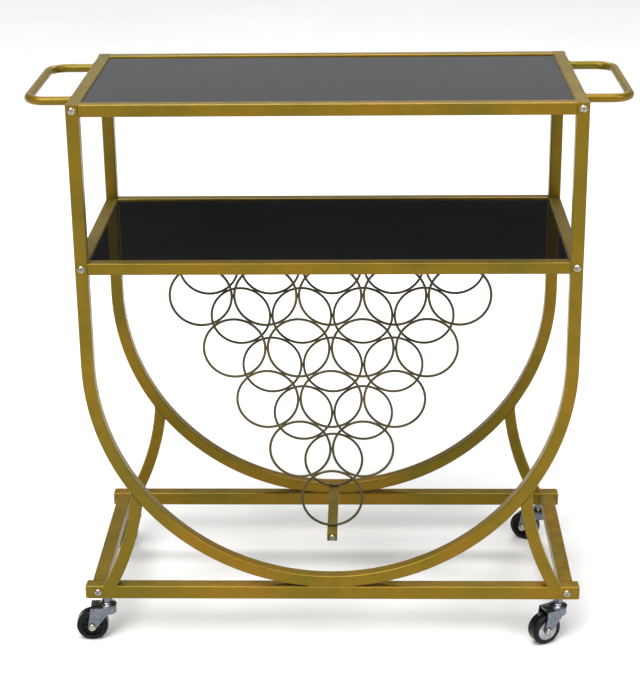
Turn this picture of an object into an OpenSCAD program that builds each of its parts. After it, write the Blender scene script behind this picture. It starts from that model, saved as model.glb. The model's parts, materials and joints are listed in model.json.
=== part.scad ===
// Bar cart on swivel casters.
// Two welded square-tube frames, front and rear, are tied by six side members that are screwed on
// through the frames. Each frame is a bent loop standing on a base bar and two curved legs.
// Two inset black glass shelves, a hanging wire bottle rack, two handles, four stem casters.
// X runs across the cart, Y from front to back, Z up. The origin is on the floor under its centre.

/* [Overall] */
// Height of the post tops above the floor
cart_h = 875; // [725:5:1050]
// Width over the posts
body_w = 750; // [620:5:900]
// Depth over the front and rear frames
body_d = 350; // [290:5:420]
// Height of the lower shelf's rails above the floor
shelf_h = 635; // [560:5:690]

/* [Tubes] */
// Side of the square tube of the loops and legs
tube = 19; // [16:0.5:24]
// Height of the shelf rails, which are as wide as the loop tube
rail_h = 18; // [14:0.5:24]
// Side of the square tube of the base bars
base_bar = 22; // [19:0.1:27]
// Wall of every tube
wall = 1.2; // [1:0.1:2]
// Radius of a square tube's corners
corner_r = 2; // [1:0.1:3]
// Base bar beyond the posts, at each end
base_overhang = 15; // [12:1:25]
// Middle of a base side bar, in from the posts' outer face
base_side_inset = 5; // [3:0.5:8]
// Depth of the flat where the loop is welded down on the base bar
seat_cut = 0.6; // [0.3:0.1:1]

/* [Legs] */
// Middle of a leg's foot, in from the posts' outer face
foot_inset = 25; // [20:1:35]
// Lean of the leg from upright at its foot, in degrees
foot_lean = 28.5; // [24:0.5:33]
// Radius that the leg is bent to
leg_r = 420; // [380:10:500]

/* [Handles] */
// Diameter of the handle tube
handle_d = 13; // [10:0.5:16]
// Reach of a handle beyond the posts
handle_reach = 75; // [60:5:100]
// Distance between a handle's arms
handle_span = 220; // [180:5:260]
// Radius of the handle's bends
handle_bend = 28; // [20:1:35]

/* [Glass] */
// Thickness of the glass
glass_t = 5; // [4:0.5:6]
// Depth of the glass below the rail tops
glass_drop = 2.5; // [1:0.5:4]
// Gap between the glass and the rails
glass_gap = 1; // [0.5:0.5:2]
// Width of the ledges that carry the glass
ledge_w = 12; // [8:1:20]
// Thickness of the ledges
ledge_t = 2; // [1.5:0.5:3]
// Diameter of the pads under the glass
pad_d = 10; // [8:1:12]
// Thickness of the pads
pad_t = 1; // [0.5:0.1:2]

/* [Bottle rack] */
// Inside diameter of a bottle ring
ring_d = 92; // [76:0.5:111]
// Diameter of the ring wire
wire_d = 4; // [3:0.5:5]
// Rows of rings; the top row has as many rings
rack_rows = 5; // [3:1:5]
// Distance between the front and rear rings
rack_depth = 144; // [110:2:200]
// Height of the bars that the rings hang from
rack_bar_h = 20; // [16:1:24]
// Width of the bars that the rings hang from
rack_bar_w = 16; // [12:1:20]
// Height of the tie bar under the lowest rings
tie_h = 12; // [10:1:16]
// Tie bar beyond the rings, at each end
tie_overhang = 28; // [10:1:40]

/* [Casters] */
// Diameter of a wheel
wheel_d = 50; // [41:1:60]
// Width of a wheel
wheel_w = 20; // [16:1:24]
// Offset of the axle from the swivel axis
trail = 25; // [20:1:30]
// Gap between the wheel and the fork's plate
fork_clear = 5; // [3:0.5:8]
// Sheet thickness of the fork's legs
fork_leg = 2; // [1.5:0.5:3]
// Thickness of the fork's plate
fork_plate = 3; // [2:0.5:4]
// Middle of a caster stem, in from the posts' outer face
caster_inset = 17; // [14:1:17]
// Heading of the front left wheel from its stem, in degrees from +X
heading_fl = 184; // [0:1:359]
// Heading of the front right wheel
heading_fr = 208; // [0:1:359]
// Heading of the rear left wheel
heading_rl = 240; // [0:1:359]
// Heading of the rear right wheel
heading_rr = 152; // [0:1:359]

/* [Fasteners] */
// Diameter of the frame screws
screw_d = 6; // [5:0.5:6]
// Diameter of the frame screws' heads
screw_head_d = 12; // [10:0.5:14]
// Length of frame screw that grips beyond the base bar
screw_grip = 12; // [10:1:16]
// Diameter of the rack screws
rack_screw_d = 4; // [3:0.5:5]
// Diameter of the tie bar's end screws
tie_screw_d = 5; // [4:0.5:6]
// Diameter of a caster's threaded stem
stem_d = 8; // [6:1:8]
// Diameter of the wheel axle
axle_d = 6; // [5:0.5:8]

/* [Hidden] */
$fn = 96;

// Clearances, each on the radius or on one side
hole_gap = 0.25;
plug_gap = 0.1;
thread_gap = 0.05;
pin_gap = 0.05;
weld_gap = 0.1;
hub_gap = 0.3;

// Frame
rail_mid = rail_h / 2;
post_x = (body_w - tube) / 2;
frame_y = (body_d - tube) / 2;
inner_w = body_w - 2 * tube;
inner_d = body_d - 2 * tube;
cap_t = 1.5;
cap_plug = 8;

// Casters, from the floor up
race_h = 6;
race_gap = 0.3;
collar_h = 8.7;
nut_flange = 1;
plate_z = wheel_d + fork_clear;
race_z = plate_z + fork_plate + race_gap;
caster_h = race_z + race_h + collar_h + nut_flange;
caster_x = body_w / 2 - caster_inset;
base_y = (body_d - base_bar) / 2;
headings = [heading_fl, heading_fr, heading_rl, heading_rr];
cover_sides = [-1, 1, 1, -1];
fork_in = wheel_w / 2 + 2;
fork_out = fork_in + fork_leg;
boss_r = 6.5;
skirt_h = 12;
pin_d = 8;
pin_head_d = 13;
pin_head_h = 2.2;
race_d = 27;
collar_af = 13;
nut_d = stem_d + 3;
nut_l = 15;
sleeve_d = axle_d + 4;
tyre_round = 3;
recess_in = 8;
recess_out = 17;
recess_t = 3;
cover_r = recess_out - 0.5;
cover_t = 1.2;
axle_head_d = 12;
axle_head_h = 3.5;
axle_nut_af = 10;
axle_nut_h = 4.5;

// Base and loop
base_top = caster_h + base_bar;
base_mid = caster_h + base_bar / 2;
base_l = body_w + 2 * base_overhang;
base_cap_t = 3;
base_cap_edge = 1.5;
base_side_x = body_w / 2 - base_side_inset;
loop_r = body_w / 2;
loop_z = base_top + loop_r - seat_cut;
foot_x = body_w / 2 - foot_inset;
leg_centre = [foot_x + leg_r * cos(foot_lean), base_top + leg_r * sin(foot_lean)];
leg_lean_top = -20;
leg_lean_end = foot_lean + 4;

// Rails, as heights of their middles
top_rail_z = cart_h - rail_mid;
shelf_rail_z = shelf_h - rail_mid;

// Rack
ring_r = (ring_d + wire_d) / 2;
ring_pitch = ring_d + 2 * wire_d + weld_gap;
rack_bar_top = shelf_h - rail_h;
first_row_z = rack_bar_top - rack_bar_h - weld_gap - ring_d / 2 - wire_d;
last_row_z = first_row_z - (rack_rows - 1) * ring_pitch * sin(60);
tie_top = last_row_z - ring_d / 2 - wire_d - weld_gap;
tie_w = 16;
tie_l = rack_depth + 2 * tie_overhang;
rack_bar_l = body_w - 4;

// Fasteners
screw_head_h = 3.4;
screw_l = base_bar + screw_grip;
insert_l = screw_l - tube + 1;
rack_screw_l = rack_bar_h + 10;
rack_head_d = 8;
rack_head_h = 2.4;
tie_screw_l = 14;
tie_head_d = 10;
tie_head_h = 3;
recess_w = 1.3;
steps = 6;
corner_steps = 3;

// Colours
gold = [0.55, 0.44, 0.10];
black_glass = [0.03, 0.03, 0.03];
zinc = [0.72, 0.73, 0.75];
black_plastic = [0.05, 0.05, 0.05];
grey_plastic = [0.35, 0.35, 0.35];
clear_rubber = [0.85, 0.85, 0.82];

CORNERS = ["front_left", "front_right", "rear_left", "rear_right"];

// ---- Shared shapes ----

function side_x(i) = i % 2 == 0 ? -1 : 1;
function side_y(i) = i < 2 ? -1 : 1;

// Points of an arc about a centre, from one angle to another
function arc(centre, r, a0, a1) = [
    for (i = [0:steps])
        let (a = a0 + (a1 - a0) * i / steps)
        [centre[0] + r * cos(a), centre[1] + r * sin(a)]
];

// Outline of a rectangle with rounded corners
function rounded(w, h) = [
    for (q = [0:3], i = [0:corner_steps])
        let (a = 90 * (q + i / corner_steps), right = q == 0 || q == 3, high = q < 2)
        [
            (right ? 1 : -1) * (w / 2 - corner_r) + corner_r * cos(a),
            (high ? 1 : -1) * (h / 2 - corner_r) + corner_r * sin(a)
        ]
];

module box_section(w, h) {
    difference() {
        polygon(rounded(w, h));
        square([w - 2 * wall, h - 2 * wall], center = true);
    }
}

module tube_x(l, w, h) {
    rotate([90, 0, 90])
        linear_extrude(l, center = true)
            box_section(w, h);
}

module tube_y(l, w, h) {
    rotate([90, 0, 0])
        linear_extrude(l, center = true)
            box_section(w, h);
}

module hole_y(x, z, d) {
    translate([x, 0, z])
        rotate([90, 0, 0])
            cylinder(d = d, h = body_d + 2, center = true);
}

// Centres of the frame screws on one side, as X and Z
function frame_screw_points(side) = [
    [side * post_x, top_rail_z],
    [side * post_x, shelf_rail_z],
    [side * base_side_x, base_mid]
];

// Cross-head screw with its head above Z = 0
module machine_screw(d, l, head_d, head_h) {
    difference() {
        union() {
            rotate_extrude()
                polygon(concat(
                    [[0, 0]],
                    [for (i = [0:steps]) [head_d / 2 * cos(90 * i / steps), head_h * sin(90 * i / steps)]]
                ));
            translate([0, 0, -l])
                cylinder(d = d, h = l + head_h / 4);
        }
        for (a = [0, 90])
            rotate(a)
                translate([0, 0, head_h])
                    cube([head_d * 0.55, recess_w, head_h * 1.1], center = true);
    }
}

// ---- Front and rear frames ----

module frame_loop(side) {
    color(gold)
    difference() {
        translate([0, side * frame_y, 0]) {
            translate([0, 0, loop_z])
                rotate([-90, 0, 0])
                    rotate_extrude(angle = 180)
                        translate([post_x, 0])
                            box_section(tube, tube);
            for (s = [-1, 1])
                translate([s * post_x, 0, loop_z])
                    linear_extrude(cart_h - cap_t - loop_z)
                        box_section(tube, tube);
        }
        translate([-loop_r, -body_d, 0])
            cube([2 * loop_r, 2 * body_d, base_top]);
        for (s = [-1, 1], p = [0, 1])
            let (at = frame_screw_points(s)[p])
            hole_y(at[0], at[1], screw_d + 2 * hole_gap);
    }
}

module leg(side, front) {
    color(gold)
    difference() {
        translate([side * leg_centre[0], front * frame_y, leg_centre[1]])
            mirror([side > 0 ? 1 : 0, 0, 0])
                rotate([-90, 0, 0])
                    rotate([0, 0, leg_lean_top])
                        rotate_extrude(angle = leg_lean_end - leg_lean_top, $fn = 4 * $fn)
                            translate([leg_r, 0])
                                box_section(tube, tube);
        translate([0, front * frame_y, loop_z])
            rotate([90, 0, 0])
                cylinder(r = loop_r, h = 2 * tube, center = true);
        translate([-body_w, -body_d, 0])
            cube([2 * body_w, 2 * body_d, base_top]);
    }
}

module end_base_bar(front) {
    color(gold)
    difference() {
        translate([0, front * base_y, base_mid])
            tube_x(base_l - 2 * base_cap_t, base_bar, base_bar);
        for (s = [-1, 1]) {
            hole_y(s * base_side_x, base_mid, screw_d + 2 * hole_gap);
            translate([s * caster_x, front * base_y, caster_h - 1])
                cylinder(d = nut_d + 2 * hole_gap, h = wall + 2);
        }
    }
}

module side_base_bar(side) {
    color(gold)
    translate([side * base_side_x, 0, base_mid])
        tube_y(body_d - 2 * base_bar, base_bar, base_bar);
}

module end_rail(front, z) {
    color(gold)
    translate([0, front * frame_y, z])
        tube_x(inner_w, tube, rail_h);
}

module side_rail(side, z) {
    color(gold)
    translate([side * post_x, 0, z])
        tube_y(inner_d, tube, rail_h);
}

module side_shelf_rail(side) {
    difference() {
        side_rail(side, shelf_rail_z);
        for (s = [-1, 1])
            color(gold)
            translate([side * post_x, s * rack_depth / 2, rack_bar_top - 1])
                cylinder(d = rack_screw_d + 2 * thread_gap, h = wall + 2);
    }
}

module post_caps() {
    plug = tube - 2 * wall - 2 * plug_gap;
    color(gold)
    for (s = [-1, 1], f = [-1, 1])
        translate([s * post_x, f * frame_y, cart_h - cap_t]) {
            linear_extrude(cap_t)
                polygon(rounded(tube, tube));
            translate([-plug / 2, -plug / 2, -2])
                cube([plug, plug, 2 + cap_t / 2]);
        }
}

module base_bar_caps() {
    plug = base_bar - 2 * wall - 2 * plug_gap;
    color(gold)
    for (s = [-1, 1], f = [-1, 1])
        translate([s * (base_l / 2 - base_cap_t / 2), f * base_y, base_mid]) {
            rotate([90, 0, s * 90])
                hull() {
                    translate([0, 0, -base_cap_t / 2])
                        linear_extrude(base_cap_t - base_cap_edge)
                            polygon(rounded(base_bar, base_bar));
                    translate([0, 0, -base_cap_t / 2])
                        linear_extrude(base_cap_t)
                            polygon(rounded(base_bar - 2 * base_cap_edge, base_bar - 2 * base_cap_edge));
                }
            translate([-s * cap_plug / 2, 0, 0])
                cube([cap_plug, plug, plug], center = true);
        }
}

// ---- Handles ----

module handle(side) {
    arm = handle_span / 2;
    bar_x = body_w / 2 + handle_reach - handle_d / 2;
    color(gold)
    mirror([side > 0 ? 0 : 1, 0, 0])
    translate([0, 0, top_rail_z]) {
        for (f = [-1, 1]) {
            translate([body_w / 2, f * arm, 0])
                rotate([0, 90, 0])
                    linear_extrude(handle_reach - handle_d / 2 - handle_bend)
                        handle_section();
            translate([bar_x - handle_bend, f * (arm - handle_bend), 0])
                mirror([0, f > 0 ? 0 : 1, 0])
                    rotate_extrude(angle = 90)
                        translate([handle_bend, 0])
                            handle_section();
        }
        translate([bar_x, 0, 0])
            rotate([90, 0, 0])
                linear_extrude(handle_span - 2 * handle_bend, center = true)
                    handle_section();
    }
}

module handle_section() {
    difference() {
        circle(d = handle_d);
        circle(d = handle_d - 2 * wall);
    }
}

// ---- Glass shelves ----

module glass(top) {
    color(black_glass)
    translate([0, 0, top - glass_drop - glass_t / 2])
        cube([inner_w - 2 * glass_gap, inner_d - 2 * glass_gap, glass_t], center = true);
}

module glass_ledges(top) {
    z = top - glass_drop - glass_t - pad_t - ledge_t;
    color(gold)
    for (s = [-1, 1]) {
        translate([0, s * (inner_d - ledge_w) / 2, z + ledge_t / 2])
            cube([inner_w, ledge_w, ledge_t], center = true);
        translate([s * (inner_w - ledge_w) / 2, 0, z + ledge_t / 2])
            cube([ledge_w, inner_d - 2 * ledge_w - 2 * weld_gap, ledge_t], center = true);
    }
}

module glass_pads() {
    color(clear_rubber)
    for (top = [cart_h, shelf_h], x = [-1, 0, 1], s = [-1, 1])
        translate([
            x * (inner_w / 2 - 2 * ledge_w),
            s * (inner_d - ledge_w) / 2,
            top - glass_drop - glass_t - pad_t
        ])
            cylinder(d = pad_d, h = pad_t);
}

// ---- Bottle rack ----

module bottle_rings(front) {
    color(gold)
    for (row = [0:rack_rows - 1])
        let (count = rack_rows - row)
        for (i = [0:count - 1])
            translate([
                (i - (count - 1) / 2) * ring_pitch,
                front * rack_depth / 2,
                first_row_z - row * ring_pitch * sin(60)
            ])
                rotate([90, 0, 0])
                    rotate_extrude()
                        translate([ring_r, 0])
                            circle(d = wire_d);
}

module rack_bar(front) {
    color(gold)
    difference() {
        translate([0, front * rack_depth / 2, rack_bar_top - rack_bar_h / 2])
            tube_x(rack_bar_l, rack_bar_w, rack_bar_h);
        for (s = [-1, 1])
            translate([s * post_x, front * rack_depth / 2, rack_bar_top - rack_bar_h - 1])
                cylinder(d = rack_screw_d + 2 * hole_gap, h = rack_bar_h + 2);
    }
}

module rack_tie_bar() {
    color(gold)
    difference() {
        translate([0, 0, tie_top - tie_h / 2])
            cube([tie_w, tie_l, tie_h], center = true);
        for (f = [-1, 1])
            translate([0, f * tie_l / 2, tie_top - tie_h / 2])
                rotate([90, 0, 0])
                    cylinder(d = tie_screw_d + 2 * thread_gap, h = 2 * tie_screw_l + 2, center = true);
    }
}

module tie_bar_screws() {
    color(zinc)
    for (f = [-1, 1])
        translate([0, f * tie_l / 2, tie_top - tie_h / 2])
            rotate([-f * 90, 0, 0])
                machine_screw(tie_screw_d, tie_screw_l, tie_head_d, tie_head_h);
}

module rack_screws() {
    color(zinc)
    for (s = [-1, 1], f = [-1, 1])
        translate([s * post_x, f * rack_depth / 2, rack_bar_top - rack_bar_h])
            rotate([180, 0, 0])
                machine_screw(rack_screw_d, rack_screw_l, rack_head_d, rack_head_h);
}

// ---- Frame fasteners ----

module frame_screws(front) {
    color(zinc)
    for (s = [-1, 1], at = frame_screw_points(s))
        translate([at[0], front * body_d / 2, at[1]])
            rotate([-front * 90, 0, 0])
                machine_screw(screw_d, screw_l, screw_head_d, screw_head_h);
}

module end_insert(w, h) {
    difference() {
        cube([w - 2 * wall - 2 * plug_gap, insert_l, h - 2 * wall - 2 * plug_gap], center = true);
        rotate([90, 0, 0])
            cylinder(d = screw_d + 2 * thread_gap, h = insert_l + 2, center = true);
    }
}

module rail_end_inserts() {
    color(grey_plastic)
    for (s = [-1, 1], f = [-1, 1]) {
        for (z = [top_rail_z, shelf_rail_z])
            translate([s * post_x, f * (inner_d - insert_l) / 2, z])
                end_insert(tube, rail_h);
        translate([s * base_side_x, f * (body_d / 2 - base_bar - insert_l / 2), base_mid])
            end_insert(base_bar, base_bar);
    }
}

// ---- Casters ----

// Puts a caster's piece at its corner, with local +X towards the wheel
module at_corner(i) {
    translate([side_x(i) * caster_x, side_y(i) * base_y, 0])
        rotate(headings[i])
            children();
}

module caster_stem_nuts() {
    color(zinc)
    for (i = [0:3])
        at_corner(i)
            difference() {
                union() {
                    translate([0, 0, caster_h])
                        cylinder(d = nut_d, h = nut_l);
                    translate([0, 0, caster_h - nut_flange])
                        cylinder(d = nut_d + 3, h = nut_flange);
                }
                translate([0, 0, caster_h - nut_flange - 1])
                    cylinder(d = stem_d + 2 * thread_gap, h = nut_l + nut_flange + 2);
            }
}

module caster_stem(i) {
    stud_z = caster_h - nut_flange;
    color(zinc)
    at_corner(i) {
        translate([0, 0, stud_z - collar_h])
            cylinder(d = collar_af / cos(30), h = collar_h, $fn = 6);
        translate([0, 0, stud_z - 1])
            cylinder(d = stem_d, h = nut_l + 3);
        translate([0, 0, race_z])
            rotate_extrude()
                polygon([
                    [0, 0], [race_d / 2, 0], [race_d / 2, race_h / 3],
                    [race_d / 3, race_h * 0.8], [race_d / 3.4, race_h], [0, race_h]
                ]);
        translate([0, 0, plate_z - race_gap - pin_head_h / 2])
            cylinder(d = pin_d, h = race_z - plate_z + race_gap + pin_head_h);
        translate([0, 0, plate_z - race_gap - pin_head_h])
            cylinder(d = pin_head_d, h = pin_head_h);
    }
}

module caster_fork(i) {
    plate_top = plate_z + fork_plate;
    color(zinc)
    at_corner(i)
        difference() {
            union() {
                translate([0, 0, plate_z])
                    cylinder(r = fork_out, h = fork_plate);
                translate([0, -fork_out, plate_z])
                    cube([trail, 2 * fork_out, fork_plate]);
                fork_skirt(plate_top);
                for (f = [-1, 1])
                    translate([0, f * (fork_in + fork_leg / 2), 0])
                        rotate([90, 0, 0])
                            linear_extrude(fork_leg, center = true)
                                fork_leg_outline(plate_top);
            }
            translate([0, 0, plate_z - 1])
                cylinder(d = pin_d + 2 * pin_gap, h = fork_plate + 2);
            translate([trail, 0, wheel_d / 2])
                rotate([90, 0, 0])
                    cylinder(d = axle_d + 2 * pin_gap, h = 2 * fork_out + 2, center = true);
        }
}

// Rounded nose that joins the fork's legs below its plate
module fork_skirt(plate_top) {
    translate([0, 0, plate_top - skirt_h])
        rotate([0, 0, 90])
            rotate_extrude(angle = 180)
                translate([fork_in, 0])
                    square([fork_leg, skirt_h]);
}

module fork_leg_outline(plate_top) {
    axle_z = wheel_d / 2;
    polygon([
        [0, plate_top],
        [trail + 1, plate_top],
        [trail + boss_r * cos(10), axle_z + boss_r * sin(10)],
        [trail - boss_r * cos(50), axle_z - boss_r * sin(50)],
        [0, plate_top - skirt_h]
    ]);
    translate([trail, axle_z])
        circle(r = boss_r);
}

module caster_axle(i) {
    color(zinc)
    at_corner(i)
        translate([trail, 0, wheel_d / 2])
            rotate([-90, 0, 0]) {
                translate([0, 0, -fork_out - axle_nut_h - 1])
                    cylinder(d = axle_d, h = 2 * fork_out + axle_nut_h + 1.5);
                translate([0, 0, fork_out])
                    rotate_extrude()
                        polygon(concat(
                            [[0, 0], [axle_head_d / 2, 0]],
                            arc([axle_head_d / 2 - 2, axle_head_h - 2], 2, 0, 90),
                            [[0, axle_head_h]]
                        ));
                difference() {
                    translate([0, 0, -fork_out - axle_nut_h])
                        cylinder(d = axle_nut_af / cos(30), h = axle_nut_h, $fn = 6);
                    translate([0, 0, -fork_out - axle_nut_h - 1])
                        cylinder(d = axle_d + 2 * thread_gap, h = axle_nut_h + 2);
                }
            }
}

module caster_wheel(i) {
    half = wheel_w / 2;
    rim = wheel_d / 2 - tyre_round;
    bore = sleeve_d / 2 + pin_gap;
    color(black_plastic)
    at_corner(i)
        translate([trail, 0, wheel_d / 2])
            rotate([-90, 0, 0])
                rotate_extrude()
                    polygon(concat(
                        [[bore, -half], [recess_in, -half], [recess_in + 1, recess_t - half]],
                        [[recess_out - 1, recess_t - half], [recess_out, -half]],
                        arc([rim, tyre_round - half], tyre_round, -90, 0),
                        arc([rim, half - tyre_round], tyre_round, 0, 90),
                        [[recess_out, half], [recess_out - 1, half - recess_t]],
                        [[recess_in + 1, half - recess_t], [recess_in, half], [bore, half]]
                    ));
}

// Steel sleeve that turns on the axle, with the cover disc on one side of the wheel
module caster_hub(i) {
    half = wheel_w / 2;
    sleeve_l = 2 * (fork_in - hub_gap);
    color(zinc)
    at_corner(i)
        translate([trail, 0, wheel_d / 2])
            rotate([-90 * cover_sides[i], 0, 0])
                difference() {
                    union() {
                        translate([0, 0, -sleeve_l / 2])
                            cylinder(d = sleeve_d, h = sleeve_l);
                        translate([0, 0, half + weld_gap])
                            rotate_extrude()
                                polygon([
                                    [0, 0], [cover_r, 0], [cover_r, cover_t / 2],
                                    [cover_r - 1, cover_t], [0, cover_t]
                                ]);
                    }
                    cylinder(d = axle_d + 2 * pin_gap, h = 2 * sleeve_l, center = true);
                }
}

// ---- Nodes ----

frame_loop(-1);  // front_frame_loop
frame_loop(1);  // rear_frame_loop
for (i = [0:3])
    leg(side_x(i), side_y(i));
end_base_bar(-1);  // front_base_bar
end_base_bar(1);  // rear_base_bar
side_base_bar(-1);  // left_base_bar
side_base_bar(1);  // right_base_bar
end_rail(-1, top_rail_z);  // front_top_rail
end_rail(1, top_rail_z);  // rear_top_rail
side_rail(-1, top_rail_z);  // left_top_rail
side_rail(1, top_rail_z);  // right_top_rail
end_rail(-1, shelf_rail_z);  // front_shelf_rail
end_rail(1, shelf_rail_z);  // rear_shelf_rail
side_shelf_rail(-1);  // left_shelf_rail
side_shelf_rail(1);  // right_shelf_rail
handle(-1);  // left_handle
handle(1);  // right_handle
post_caps();
base_bar_caps();
glass(cart_h);  // top_glass
glass(shelf_h);  // shelf_glass
glass_ledges(cart_h);  // top_glass_ledges
glass_ledges(shelf_h);  // shelf_glass_ledges
glass_pads();
bottle_rings(-1);  // front_bottle_rings
bottle_rings(1);  // rear_bottle_rings
rack_bar(-1);  // front_rack_bar
rack_bar(1);  // rear_rack_bar
rack_tie_bar();
tie_bar_screws();
rack_screws();
frame_screws(-1);  // front_frame_screws
frame_screws(1);  // rear_frame_screws
rail_end_inserts();
caster_stem_nuts();
for (i = [0:3]) {
    caster_stem(i);
    caster_fork(i);
    caster_axle(i);
    caster_wheel(i);
    caster_hub(i);
}
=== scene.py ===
"""Looks for the bar cart: paint, black glass, plated casters, weld beads, floor, light and camera."""
import json
import math

import bmesh
import bpy
from mathutils import Matrix, Vector, noise


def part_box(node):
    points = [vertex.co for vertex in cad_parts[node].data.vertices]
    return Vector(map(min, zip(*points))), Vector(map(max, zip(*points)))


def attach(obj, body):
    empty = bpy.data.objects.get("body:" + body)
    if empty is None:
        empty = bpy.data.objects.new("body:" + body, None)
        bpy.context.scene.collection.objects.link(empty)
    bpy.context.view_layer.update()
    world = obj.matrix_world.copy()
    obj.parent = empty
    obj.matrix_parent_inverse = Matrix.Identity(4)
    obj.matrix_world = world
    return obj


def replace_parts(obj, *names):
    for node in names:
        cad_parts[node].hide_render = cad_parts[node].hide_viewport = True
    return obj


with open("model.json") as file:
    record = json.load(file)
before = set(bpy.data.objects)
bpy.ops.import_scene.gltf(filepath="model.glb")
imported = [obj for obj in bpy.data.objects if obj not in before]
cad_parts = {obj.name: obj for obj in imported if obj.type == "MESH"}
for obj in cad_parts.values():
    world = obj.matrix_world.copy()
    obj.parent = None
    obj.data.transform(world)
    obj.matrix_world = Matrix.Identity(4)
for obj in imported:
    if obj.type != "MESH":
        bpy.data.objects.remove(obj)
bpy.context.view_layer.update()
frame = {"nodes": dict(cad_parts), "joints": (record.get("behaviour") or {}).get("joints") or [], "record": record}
nodes = frame["nodes"]
MM = 0.001


# ---- Material helpers ----

class Shader:
    """A material's node tree, built up one node at a time."""

    def __init__(self, name):
        self.material = bpy.data.materials.new(name)
        self.material.use_nodes = True
        self.tree = self.material.node_tree
        self.surface = self.tree.nodes["Principled BSDF"]
        self.place = self.add("ShaderNodeTexCoord").outputs["Object"]

    def add(self, kind, **values):
        node = self.tree.nodes.new(kind)
        for key, value in values.items():
            setattr(node, key, value)
        return node

    def link(self, source, target):
        self.tree.links.new(source, target)

    def set(self, **values):
        for key, value in values.items():
            self.surface.inputs[key.replace("_", " ")].default_value = value

    def noise(self, scale, detail=3.0, roughness=0.5):
        """Clouds, with a scale in features per metre."""
        node = self.add("ShaderNodeTexNoise")
        self.link(self.place, node.inputs["Vector"])
        node.inputs["Scale"].default_value = scale
        node.inputs["Detail"].default_value = detail
        node.inputs["Roughness"].default_value = roughness
        return node.outputs["Fac"]

    def cells(self, scale):
        """Patches of random colour, with a scale in patches per metre."""
        node = self.add("ShaderNodeTexVoronoi")
        self.link(self.place, node.inputs["Vector"])
        node.inputs["Scale"].default_value = scale
        return node.outputs["Color"]

    def stretched(self, scale, stretch, detail=2.0):
        """Streaks: clouds made finer in x, y and z by the stretch."""
        mapping = self.add("ShaderNodeMapping")
        self.link(self.place, mapping.inputs["Vector"])
        mapping.inputs["Scale"].default_value = stretch
        node = self.add("ShaderNodeTexNoise")
        self.link(mapping.outputs["Vector"], node.inputs["Vector"])
        node.inputs["Scale"].default_value = scale
        node.inputs["Detail"].default_value = detail
        return node.outputs["Fac"]

    def ramp(self, source, stops):
        """Turns a value into a colour, by stops of (value, colour)."""
        node = self.add("ShaderNodeValToRGB")
        self.link(source, node.inputs["Fac"])
        ends = node.color_ramp.elements
        while len(ends) < len(stops):
            ends.new(0.5)
        for end, (at, colour) in zip(ends, stops):
            end.position = at
            end.color = (*colour, 1.0)
        return node.outputs["Color"]

    def mix(self, a, b, factor, blend="MIX"):
        node = self.add("ShaderNodeMix", data_type="RGBA", blend_type=blend)
        self.link(a, node.inputs["A"])
        self.link(b, node.inputs["B"])
        if isinstance(factor, float):
            node.inputs["Factor"].default_value = factor
        else:
            self.link(factor, node.inputs["Factor"])
        return node.outputs["Result"]

    def span(self, source, low, high, start=0.3, end=0.7):
        """Turns values from start to end into values from low to high."""
        node = self.add("ShaderNodeMapRange")
        self.link(source, node.inputs["Value"])
        for key, value in (("From Min", start), ("From Max", end), ("To Min", low), ("To Max", high)):
            node.inputs[key].default_value = value
        return node.outputs["Result"]

    def colour(self, source):
        self.link(source, self.surface.inputs["Base Color"])

    def roughness(self, source):
        self.link(source, self.surface.inputs["Roughness"])

    def bump(self, height, strength, distance):
        node = self.add("ShaderNodeBump")
        self.link(height, node.inputs["Height"])
        node.inputs["Strength"].default_value = strength
        node.inputs["Distance"].default_value = distance
        self.link(node.outputs["Normal"], self.surface.inputs["Normal"])


def gold_paint(name, olive, plain, warm, rough, sheen):
    """Metallic lacquer: broad olive and warm drifts, fine flakes, orange peel and handling marks."""
    s = Shader(name)
    drift = s.ramp(s.noise(9.0, 3.0), [(0.34, olive), (0.5, plain), (0.66, warm)])
    flakes = s.ramp(s.noise(1500.0, 1.0), [(0.35, (0.80, 0.80, 0.80)), (0.65, (1.15, 1.13, 1.08))])
    grime = s.ramp(s.noise(45.0, 5.0, 0.6), [(0.30, (0.86, 0.85, 0.82)), (0.55, (1.0, 1.0, 1.0))])
    s.colour(s.mix(s.mix(drift, flakes, 0.55, "MULTIPLY"), grime, 0.7, "MULTIPLY"))
    s.roughness(s.span(s.noise(70.0, 4.0), rough - 0.07, rough + 0.08))
    s.bump(s.noise(520.0, 2.0), 0.22, 0.00016)
    s.set(Metallic=0.55, Specular_IOR_Level=0.3)
    s.set(Sheen_Weight=sheen, Sheen_Roughness=0.35, Sheen_Tint=(1.0, 0.92, 0.55, 1.0))
    return s.material


def black_glass():
    """Back-painted black glass, polished, with faint wiping marks and dust."""
    s = Shader("black_glass")
    s.colour(s.ramp(s.noise(6.0, 2.0), [(0.3, (0.0035, 0.0036, 0.0042)), (0.7, (0.0065, 0.0066, 0.0072))]))
    wiped = s.stretched(5.0, (1.0, 6.0, 1.0), 5.0)
    s.roughness(s.span(wiped, 0.022, 0.060, 0.35, 0.75))
    s.bump(s.noise(3.5, 1.0), 0.03, 0.0008)
    s.set(IOR=1.5)
    return s.material


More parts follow.
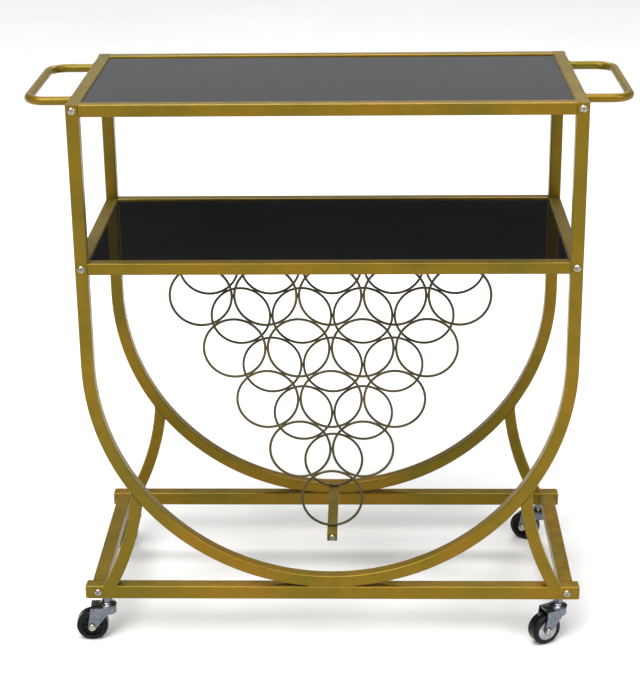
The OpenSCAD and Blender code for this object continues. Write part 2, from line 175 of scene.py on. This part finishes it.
def plated(name, dark, light, rough, cell_scale=240.0):
    """Bright zinc or nickel plate: faint crystal patches, fine scratches and a little tarnish."""
    s = Shader(name)
    crystals = s.add("ShaderNodeSeparateColor")
    s.link(s.cells(cell_scale), crystals.inputs["Color"])
    tone = s.ramp(crystals.outputs["Red"], [(0.0, dark), (1.0, light)])
    tarnish = s.ramp(s.noise(160.0, 4.0), [(0.30, (0.78, 0.77, 0.74)), (0.52, (1.0, 1.0, 1.0))])
    s.colour(s.mix(tone, tarnish, 0.8, "MULTIPLY"))
    s.roughness(s.span(s.stretched(260.0, (1.0, 1.0, 9.0), 3.0), rough - 0.06, rough + 0.12))
    s.bump(s.stretched(420.0, (1.0, 1.0, 12.0)), 0.12, 0.00006)
    s.set(Metallic=1.0)
    return s.material


def wheel_black():
    """Glossy black moulding with scuffs and a little dust from the floor."""
    s = Shader("wheel_black")
    dust = s.span(s.noise(220.0, 5.0, 0.7), 0.0, 0.12, 0.52, 0.80)
    clean = s.ramp(s.noise(60.0, 2.0), [(0.3, (0.002, 0.002, 0.003)), (0.7, (0.005, 0.005, 0.006))])
    grey = s.ramp(s.noise(900.0, 1.0), [(0.3, (0.05, 0.048, 0.045)), (0.7, (0.10, 0.095, 0.09))])
    s.colour(s.mix(clean, grey, dust))
    s.roughness(s.span(s.noise(320.0, 4.0), 0.16, 0.32))
    s.bump(s.noise(650.0, 2.0), 0.10, 0.00010)
    s.set(Specular_IOR_Level=0.14, Coat_Weight=0.05, Coat_Roughness=0.12)
    return s.material


def moulded(name, dark, light, rough, scale):
    """Plain moulded nylon or a soft clear pad, with its fine mould grain."""
    s = Shader(name)
    s.colour(s.ramp(s.noise(scale, 3.0), [(0.3, dark), (0.7, light)]))
    s.roughness(s.span(s.noise(scale * 3.0, 2.0), rough - 0.08, rough + 0.08))
    s.bump(s.noise(scale * 6.0, 2.0), 0.15, 0.00008)
    return s.material


def floor_pale():
    """Pale studio floor with a barely visible cloudiness."""
    s = Shader("floor_pale")
    s.colour(s.ramp(s.noise(1.4, 3.0), [(0.3, (0.74, 0.74, 0.735)), (0.7, (0.77, 0.77, 0.765))]))
    s.roughness(s.span(s.noise(12.0, 3.0), 0.60, 0.75))
    return s.material


MATERIALS = {
    "gold_paint": gold_paint(
        "antique_gold",
        olive=(0.150, 0.108, 0.004), plain=(0.188, 0.121, 0.004), warm=(0.228, 0.128, 0.005),
        rough=0.36, sheen=0.22),
    "gold_wire": gold_paint(
        "wire_gold",
        olive=(0.058, 0.048, 0.020), plain=(0.080, 0.063, 0.024), warm=(0.108, 0.080, 0.027),
        rough=0.40, sheen=0.03),
    "black_glass": black_glass(),
    "screw_steel": plated(
        "nickel_plate", dark=(0.30, 0.28, 0.24), light=(0.46, 0.43, 0.37), rough=0.26),
    "zinc_steel": plated(
        "zinc_plate", dark=(0.130, 0.144, 0.168), light=(0.205, 0.222, 0.252), rough=0.22, cell_scale=420.0),
    "hub_cover": plated(
        "hub_chrome", dark=(0.22, 0.23, 0.26), light=(0.42, 0.43, 0.47), rough=0.16, cell_scale=90.0),
    "black_wheel": wheel_black(),
    "grey_nylon": moulded(
        "grey_nylon", dark=(0.20, 0.20, 0.20), light=(0.30, 0.30, 0.30), rough=0.55, scale=300.0),
    "clear_pad": moulded(
        "clear_pad", dark=(0.55, 0.55, 0.52), light=(0.72, 0.72, 0.68), rough=0.40, scale=400.0),
}
for part in frame["record"]["subparts"]:
    mesh = nodes[part["node"]].data
    mesh.materials.clear()
    mesh.materials.append(MATERIALS[part["material_slot"]])


# ---- Shape helpers ----

def add_object(name, data):
    """A new object in the scene that shows a mesh, a light or a camera."""
    made = bpy.data.objects.new(name, data)
    bpy.context.scene.collection.objects.link(made)
    return made


def finish_piece(bm, name, slot, body, smooth=True):
    """Turns a bmesh into a piece that rides on a body and takes a slot's material."""
    bmesh.ops.recalc_face_normals(bm, faces=bm.faces)
    mesh = bpy.data.meshes.new(name)
    bm.to_mesh(mesh)
    bm.free()
    mesh.materials.append(MATERIALS[slot])
    if smooth:
        mesh.shade_smooth()
    piece = add_object(name, mesh)
    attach(piece, body)
    return piece


def add_bead(bm, path, width, closed=False):
    """A weld bead along a path: a low round ridge with the ripples of its puddles."""
    around = 10
    ripple = width * 0.9
    lengths = [(b - a).length for a, b in zip(path, path[1:])]
    rings, run = [], 0.0
    for i, point in enumerate(path):
        ahead = path[(i + 1) % len(path)] if closed or i + 1 < len(path) else point
        behind = path[i - 1] if closed or i > 0 else point
        along = (ahead - behind).normalized()
        side = along.orthogonal().normalized()
        up = along.cross(side)
        swell = 1.0 + 0.14 * math.cos(2 * math.pi * run / ripple) + 0.10 * noise.noise(point * 900)
        if not closed and i in (0, len(path) - 1):
            swell *= 0.35
        radius = width / 2 * swell
        rings.append([
            bm.verts.new(point + (side * math.cos(a) + up * math.sin(a)) * radius)
            for a in (2 * math.pi * k / around for k in range(around))
        ])
        run += lengths[i] if i < len(lengths) else 0.0
    pairs = list(zip(rings, rings[1:])) + ([(rings[-1], rings[0])] if closed else [])
    for a, b in pairs:
        for k in range(around):
            bm.faces.new((a[k], a[(k + 1) % around], b[(k + 1) % around], b[k]))
    if not closed:
        bm.faces.new(rings[0])
        bm.faces.new(rings[-1])


def line(a, b, step=0.8 * MM):
    """Points along a straight line, about a step apart."""
    a, b = Vector(a), Vector(b)
    count = max(4, round((b - a).length / step))
    return [a.lerp(b, i / count) for i in range(count + 1)]


def circle(middle, axis, radius, count):
    """Points round a circle about an axis."""
    side = axis.orthogonal().normalized()
    up = axis.cross(side)
    turns = (2 * math.pi * i / count for i in range(count))
    return [middle + (side * math.cos(t) + up * math.sin(t)) * radius for t in turns]


def add_nugget(bm, at, size):
    """A spot weld: a small lump, a little uneven, with a size as its half lengths in x, y and z."""
    made = bmesh.ops.create_icosphere(bm, subdivisions=2, radius=1.0)
    for vert in made["verts"]:
        uneven = 1.0 + 0.16 * noise.noise(vert.co * 1.7 + at * 400)
        vert.co = at + Vector(c * s * uneven for c, s in zip(vert.co, size))


# ---- Sizes, read from the frame ----

loop_low, loop_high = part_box("front_frame_loop")
rear_low, rear_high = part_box("rear_frame_loop")
rail_low, rail_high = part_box("front_top_rail")
bar_low, bar_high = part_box("front_base_bar")
TUBE = loop_high.y - loop_low.y
LOOP_R = (loop_high.x - loop_low.x) / 2
BASE_TOP = bar_high.z
# The loop is cut flat by this much where it is welded to the base bar
LOOP_SEAT = 0.6 * MM
LOOP_Z = BASE_TOP + LOOP_R - LOOP_SEAT
INNER_X = rail_high.x
FRAME_Y = [(loop_low.y + loop_high.y) / 2, (rear_low.y + rear_high.y) / 2]


# ---- Weld beads of the frame ----

def frame_beads():
    """Beads at the loops' seats on the base bars, and at the ends of the rails between the posts."""
    bm = bmesh.new()
    bead, half = 2.4 * MM, TUBE / 2
    # The beads lie in the crevice under the loop's curve, this far from the middle and just over the bar
    near, far = 20 * MM, 36 * MM
    seat_z = BASE_TOP + 0.5 * MM
    edge_inset, end_inset, rail_inset = 1.2 * MM, 1.0 * MM, 2.5 * MM
    for y in FRAME_Y:
        for side in (-1, 1):
            for edge in (-1, 1):
                edge_y = y + edge * (half - edge_inset)
                add_bead(bm, line((side * near, edge_y, seat_z), (side * far, edge_y, seat_z)), bead * 0.8)
            add_bead(bm, line((side * far, y - half + end_inset, seat_z),
                              (side * far, y + half - end_inset, seat_z)), bead)
        # Under each rail's end and beside it, against the post
        inner_y = y + math.copysign(half, -y)
        for rail in ("front_top_rail", "front_shelf_rail"):
            low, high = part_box(rail)
            for side in (-1, 1):
                x = side * INNER_X
                add_bead(bm, line((x, y - half + rail_inset, low.z), (x, y + half - rail_inset, low.z)), bead)
                add_bead(bm, line((x, inner_y, low.z + rail_inset), (x, inner_y, high.z - rail_inset)), bead)
    return bm


def leg_beads():
    """Beads round each leg's foot on the base bar, and where its top meets the loop."""
    bm = bmesh.new()
    bead, inset = 2.6 * MM, 2.0 * MM
    for name in ("front_left_leg", "front_right_leg", "rear_left_leg", "rear_right_leg"):
        points = [v.co for v in nodes[name].data.vertices]
        low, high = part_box(name)
        inner_y = high.y if low.y < 0 else low.y
        foot = [p.x for p in points if abs(p.z - low.z) < 0.05 * MM]
        left, right = min(foot), max(foot)
        for x in (left, right):
            add_bead(bm, line((x, low.y + inset, BASE_TOP), (x, high.y - inset, BASE_TOP)), bead)
        add_bead(bm, line((left, inner_y, BASE_TOP), (right, inner_y, BASE_TOP)), bead)
        # The top's points lie on the loop's outer cylinder
        top = [p for p in points if abs(math.hypot(p.x, p.z - LOOP_Z) - LOOP_R) < 0.12 * MM]
        lowest = min(top, key=lambda p: p.z)
        highest = max(top, key=lambda p: p.z)
        for end in (lowest, highest):
            add_bead(bm, line((end.x, low.y + inset, end.z), (end.x, high.y - inset, end.z)), bead)
        add_bead(bm, line((lowest.x, inner_y, lowest.z), (highest.x, inner_y, highest.z)), bead)
    return bm


def handle_beads(name):
    """A ripple of weld round each end of a handle."""
    bm = bmesh.new()
    low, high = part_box(name)
    radius = (high.z - low.z) / 2
    root = low.x if high.x > 0 else high.x
    middle_z = (low.z + high.z) / 2
    ends = [v.co.y for v in nodes[name].data.vertices if abs(v.co.x - root) < 0.1 * MM]
    for y in (min(ends) + radius, max(ends) - radius):
        ring = circle(Vector((root, y, middle_z)), Vector((1, 0, 0)), radius, count=56)
        add_bead(bm, ring, 2.4 * MM, closed=True)
    return bm


finish_piece(frame_beads(), "frame_weld_beads", "gold_paint", "frame")
finish_piece(leg_beads(), "leg_weld_beads", "gold_paint", "frame")
for handle in ("left_handle", "right_handle"):
    finish_piece(handle_beads(handle), handle + "_weld_beads", "gold_paint", "frame")


# ---- Spot welds of the bottle rings ----

RING_ROWS = 5
# What the CAD model leaves between two rings, for their spot weld
RING_GAP = 0.1 * MM


def ring_places(name):
    """A panel's rings, found row by row from its box: their middles, outer diameter and pitch."""
    low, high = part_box(name)
    outer = (high.x - low.x - (RING_ROWS - 1) * RING_GAP) / RING_ROWS
    pitch = outer + RING_GAP
    y = (low.y + high.y) / 2
    places = []
    for row in range(RING_ROWS):
        count = RING_ROWS - row
        z = high.z - outer / 2 - row * pitch * math.sin(math.radians(60))
        places += [Vector(((i - (count - 1) / 2) * pitch, y, z)) for i in range(count)]
    return places, outer, pitch


def ring_welds(name):
    """Three lumps where two rings touch, and one where a ring meets the bar over or under it."""
    bm = bmesh.new()
    places, outer, pitch = ring_places(name)
    lump, spread = (1.5 * MM, 1.9 * MM, 1.5 * MM), 1.6 * MM
    rack_lump, tie_lump = (5.0 * MM, 2.0 * MM, 1.1 * MM), (4.5 * MM, 2.2 * MM, 1.1 * MM)
    for i, a in enumerate(places):
        for b in places[i + 1:]:
            if (a - b).length < pitch * 1.05:
                across = (b - a).normalized()
                along = Vector((across.z, 0, -across.x))
                for end in (-1, 0, 1):
                    add_nugget(bm, (a + b) / 2 + along * end * spread, lump)
    to_edge = Vector((0, 0, outer / 2))
    for place in places[:RING_ROWS]:
        add_nugget(bm, place + to_edge, rack_lump)
    add_nugget(bm, places[-1] - to_edge, tie_lump)
    return bm


for panel in ("front_bottle_rings", "rear_bottle_rings"):
    finish_piece(ring_welds(panel), panel + "_spot_welds", "gold_wire", "frame")


# ---- Glass with ground and polished edges ----

def rise(edge):
    """The difference in height between an edge's ends."""
    return abs(edge.verts[0].co.z - edge.verts[1].co.z)


def glass_plate(name):
    """A plate that fills the CAD plate's box, with small round corners and ground edges."""
    corner, ground = 3.0 * MM, 0.9 * MM
    low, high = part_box(name)
    bm = bmesh.new()
    bmesh.ops.create_cube(bm, size=1.0)
    bmesh.ops.scale(bm, vec=high - low, verts=bm.verts)
    bmesh.ops.translate(bm, vec=(low + high) / 2, verts=bm.verts)
    upright = [e for e in bm.edges if rise(e) > 1.0 * MM]
    bmesh.ops.bevel(bm, geom=upright, offset=corner, segments=4, affect="EDGES", profile=0.5)
    level = [e for e in bm.edges if rise(e) < 0.01 * MM and e.calc_face_angle(0) > 0.8]
    bmesh.ops.bevel(bm, geom=level, offset=ground, segments=2, affect="EDGES", profile=0.5)
    plate = finish_piece(bm, name + "_plate", "black_glass", "frame", smooth=False)
    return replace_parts(plate, name)


for glass in ("top_glass", "shelf_glass"):
    glass_plate(glass)


# ---- Caster details ----

def joint_line(name):
    """A point on a joint's axis, and the axis's direction."""
    found = next(j for j in frame["joints"] if j["name"] == name)
    return Vector(found["pos_m"]), Vector(found["axis"]).normalized()


def lathe(bm, middle, axis, profile, count=48):
    """A ring turned about an axis; the profile is (radius, offset along the axis) round a closed outline."""
    side = axis.orthogonal().normalized()
    up = axis.cross(side)
    rings = []
    for k in range(count):
        turn = 2 * math.pi * k / count
        out = side * math.cos(turn) + up * math.sin(turn)
        rings.append([bm.verts.new(middle + out * r + axis * h) for r, h in profile])
    for a, b in zip(rings, rings[1:] + rings[:1]):
        for i in range(len(profile)):
            j = (i + 1) % len(profile)
            bm.faces.new((a[i], a[j], b[j], b[i]))


def wheel_ribs(corner, cover_side):
    """Moulded ribs and a raised ring in the wheel's open recess, on the side away from its cover."""
    middle, axis = joint_line(corner + "_roll")
    out = -axis * cover_side
    rib_count, half_width, taper = 8, 0.7 * MM, 0.6
    rib_inner, rib_outer = 8.6 * MM, 16.4 * MM
    ring_inner, ring_outer, draft = 12.0 * MM, 13.2 * MM, 0.2 * MM
    # Distances from the wheel's middle plane; the root is a little inside the recess's floor
    root, top = 6.7 * MM, 8.8 * MM
    bm = bmesh.new()
    for k in range(rib_count):
        along = Matrix.Rotation(2 * math.pi * k / rib_count, 3, axis) @ Vector((0, 0, 1))
        across = axis.cross(along)
        corners = []
        for r in (rib_inner, rib_outer):
            for w in (-half_width, half_width):
                for h, narrow in ((root, 1.0), (top, taper)):
                    corners.append(bm.verts.new(middle + along * r + across * w * narrow + out * h))
        bmesh.ops.convex_hull(bm, input=corners)
    lathe(bm, middle, out, [
        (ring_inner, root), (ring_inner + draft, top), (ring_outer - draft, top), (ring_outer, root)])
    finish_piece(bm, corner + "_wheel_ribs", "black_wheel", corner + "_wheel", smooth=False)


def tread_lines(corner):
    """Two fine ridges round the tread, left by the mould."""
    middle, axis = joint_line(corner + "_roll")
    # The wheel stands on the floor, so its middle's height is its radius
    crest, foot = middle.z - 0.02 * MM, middle.z - 0.5 * MM
    off_middle, half_crest, half_foot = 4.5 * MM, 0.2 * MM, 0.5 * MM
    bm = bmesh.new()
    for at in (-off_middle, off_middle):
        lathe(bm, middle, axis, [
            (foot, at - half_foot), (crest, at - half_crest),
            (crest, at + half_crest), (foot, at + half_foot)], count=96)
    finish_piece(bm, corner + "_tread_lines", "black_wheel", corner + "_wheel")


def race_rim(corner):
    """The rolled rim round the lower edge of the ball race, on the fork's plate."""
    pin, _ = joint_line(corner + "_swivel")
    plate_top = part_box(corner + "_caster_fork")[1].z
    outline_mm = [(13.7, -0.4), (13.75, 1.1), (14.0, 1.5), (14.4, 1.4), (14.6, 0.9), (14.6, -0.6)]
    bm = bmesh.new()
    lathe(bm, Vector((pin.x, pin.y, plate_top)), Vector((0, 0, 1)), [(r * MM, h * MM) for r, h in outline_mm])
    finish_piece(bm, corner + "_race_rim", "zinc_steel", corner + "_swivel")


# Which way along the axle the wheel's cover disc faces
COVER_SIDE = {"front_left": -1, "front_right": 1, "rear_left": 1, "rear_right": -1}
for corner, cover_side in COVER_SIDE.items():
    wheel_ribs(corner, cover_side)
    tread_lines(corner)
    race_rim(corner)


# ---- Floor, light and camera ----

def floor():
    """A floor wide enough to reach the horizon in every view."""
    bm = bmesh.new()
    bmesh.ops.create_grid(bm, x_segments=8, y_segments=8, size=60.0)
    mesh = bpy.data.meshes.new("studio_floor")
    bm.to_mesh(mesh)
    bm.free()
    mesh.materials.append(floor_pale())
    add_object("studio_floor", mesh)


def soft_box(name, place, aim, size, power, colour=(1.0, 1.0, 1.0)):
    """A rectangular studio light at a place, turned towards its aim."""
    light = bpy.data.lights.new(name, "AREA")
    light.shape = "RECTANGLE"
    light.size, light.size_y = size
    light.energy = power
    light.color = colour
    lamp = add_object(name, light)
    lamp.location = place
    lamp.rotation_euler = (Vector(aim) - Vector(place)).to_track_quat("-Z", "Y").to_euler()


def studio(stops, backdrop):
    """Room light by height above the horizon, as (sine of the height, grey), and an even pale backdrop."""
    sky = bpy.data.worlds.new("studio")
    sky.use_nodes = True
    tree = sky.node_tree
    place = tree.nodes.new("ShaderNodeTexCoord")
    parts = tree.nodes.new("ShaderNodeSeparateXYZ")
    ramp = tree.nodes.new("ShaderNodeValToRGB")
    path = tree.nodes.new("ShaderNodeLightPath")
    mix = tree.nodes.new("ShaderNodeMix")
    mix.data_type = "RGBA"
    mix.inputs["B"].default_value = (backdrop, backdrop, backdrop, 1.0)
    ends = ramp.color_ramp.elements
    while len(ends) < len(stops):
        ends.new(0.5)
    for end, (at, grey) in zip(ends, stops):
        end.position = at
        end.color = (grey * 0.97, grey * 0.99, grey, 1.0)
    tree.links.new(place.outputs["Generated"], parts.inputs["Vector"])
    tree.links.new(parts.outputs["Z"], ramp.inputs["Fac"])
    tree.links.new(ramp.outputs["Color"], mix.inputs["A"])
    tree.links.new(path.outputs["Is Camera Ray"], mix.inputs["Factor"])
    tree.links.new(mix.outputs["Result"], tree.nodes["Background"].inputs["Color"])
    bpy.context.scene.world = sky


def sun(height, bearing, strength, spread):
    """A broad overhead light that reaches the whole floor evenly."""
    light = bpy.data.lights.new("overhead", "SUN")
    light.energy = strength
    light.angle = math.radians(spread)
    lamp = add_object("overhead", light)
    lamp.rotation_euler = (math.radians(90 - height), 0, math.radians(bearing))


def camera(place, pitch, yaw, roll, focal, shift):
    """Focal length in units of the frame's long side; pitch is downwards, angles in degrees."""
    data = bpy.data.cameras.new("camera")
    data.sensor_width = 36.0
    data.lens = focal * data.sensor_width
    data.shift_y = shift
    eye = add_object("camera", data)
    turn = Matrix.Rotation(math.radians(yaw), 4, "Z") @ Matrix.Rotation(math.radians(90 - pitch), 4, "X")
    eye.matrix_world = Matrix.Translation(place) @ turn @ Matrix.Rotation(math.radians(roll), 4, "Z")
    bpy.context.scene.camera = eye


floor()
# Grey up to the height that the top glass reflects, and dark above it, where the lower glass looks
studio([(0.0, 0.42), (0.243, 0.42), (0.270, 0.035), (0.50, 0.08), (1.0, 0.45)], backdrop=0.94)
sun(height=68, bearing=-25, strength=3.2, spread=50)
soft_box("key", place=(-1.6, -2.6, 2.8), aim=(0, 0, 0.4),
         size=(2.2, 1.6), power=54, colour=(1.0, 0.98, 0.95))
soft_box("fill", place=(2.7, -2.5, 3.0), aim=(0, 0, 0.45),
         size=(1.8, 1.3), power=62, colour=(0.97, 0.98, 1.0))
soft_box("back", place=(0.2, 2.6, 3.5), aim=(0, 0, 0.7),
         size=(3.0, 0.9), power=90)
camera(place=(0.0595, -2.6, 1.465), pitch=19.85, yaw=1.70, roll=-0.71, focal=2.50, shift=-0.08)
bpy.context.scene.view_settings.view_transform = "Standard"
